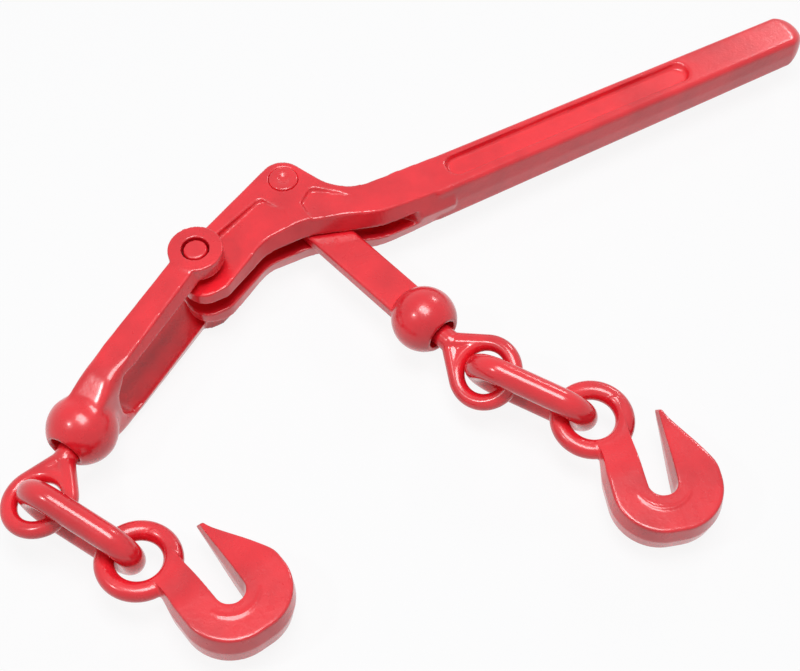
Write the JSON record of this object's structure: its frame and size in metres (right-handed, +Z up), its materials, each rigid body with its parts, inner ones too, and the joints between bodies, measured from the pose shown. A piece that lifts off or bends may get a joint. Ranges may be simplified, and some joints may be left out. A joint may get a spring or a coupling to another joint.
{
  "type": "lever load binder",
  "caption": "Over-centre lever load binder: forged handle with yoke and link bar, each ending in a swivel eye, connecting link and grab hook for tightening a tie-down chain.",
  "frame": {"origin": "bottom centre of the whole object as it lies on its side, slack, on a floor", "axes": "+X along the handle from its head towards the tip of the grip, +Z up along the yoke and rivet pivots, +Y towards the back of the head"},
  "size_m": [0.5468, 0.2998, 0.0562],
  "materials": {
    "handle_enamel": "gloss red enamel over a forged skin",
    "rivet_enamel": "gloss red enamel",
    "yoke_enamel": "gloss red enamel over a forged skin",
    "bar_enamel": "gloss red enamel over a forged skin",
    "swivel_enamel": "gloss red enamel",
    "link_enamel": "gloss red enamel over bent round bar",
    "hook_enamel": "gloss red enamel over a forged skin"
  },
  "bodies": {
    "handle": {"lever_handle": "handle_enamel", "link_rivet": "rivet_enamel"},
    "yoke": {"yoke": "yoke_enamel"},
    "link_bar": {"link_bar": "bar_enamel"},
    "yoke_swivel": {"yoke_swivel_eye": "swivel_enamel"},
    "bar_swivel": {"bar_swivel_eye": "swivel_enamel"},
    "yoke_link": {"yoke_connecting_link": "link_enamel"},
    "bar_link": {"bar_connecting_link": "link_enamel"},
    "yoke_hook": {"yoke_grab_hook": "hook_enamel"},
    "bar_hook": {"bar_grab_hook": "hook_enamel"}
  },
  "joints": [
    {"name": "yoke_pivot", "type": "hinge", "parent": "handle", "child": "yoke", "pos_m": [-0.12505, 0.10754, 0.0281], "axis": [0, 0, 1], "range_deg": [-176, 12]},
    {"name": "link_bar_pivot", "type": "hinge", "parent": "handle", "child": "link_bar", "pos_m": [-0.05955, 0.13644, 0.0281], "axis": [0, 0, 1], "range_deg": [-88, 6]},
    {"name": "yoke_swivel_spin", "type": "hinge", "parent": "yoke", "child": "yoke_swivel", "pos_m": [-0.21807, 0.04919, 0.0281], "axis": [-0.7649, -0.6441, 0], "continuous": true},
    {"name": "bar_swivel_spin", "type": "hinge", "parent": "link_bar", "child": "bar_swivel", "pos_m": [-0.02949, 0.02503, 0.0281], "axis": [0.2605, -0.9655, 0], "continuous": true},
    {"name": "yoke_link_swing", "type": "hinge", "parent": "yoke_swivel", "child": "yoke_link", "pos_m": [-0.25295, 0.01982, 0.0281], "axis": [-0.1119, 0.1328, 0.9848], "range_deg": [-175, 12]},
    {"name": "bar_link_swing", "type": "hinge", "parent": "bar_swivel", "child": "bar_link", "pos_m": [-0.01727, -0.02025, 0.0281], "axis": [-0.4533, -0.1223, 0.8829], "range_deg": [-115, 75]},
    {"name": "yoke_hook_swing", "type": "hinge", "parent": "yoke_link", "child": "yoke_hook", "pos_m": [-0.2312, -0.01655, 0.02469], "axis": [-0.8582, -0.5041, -0.0965], "range_deg": [-60, 80]},
    {"name": "bar_hook_swing", "type": "hinge", "parent": "bar_link", "child": "bar_hook", "pos_m": [0.00745, -0.05515, 0.02554], "axis": [-0.7832, -0.5312, -0.3232], "range_deg": [-60, 80]}
  ],
  "couplings": [
    {"joint": "link_bar_pivot", "follows": "yoke_pivot", "ratio": 0.5}
  ]
}
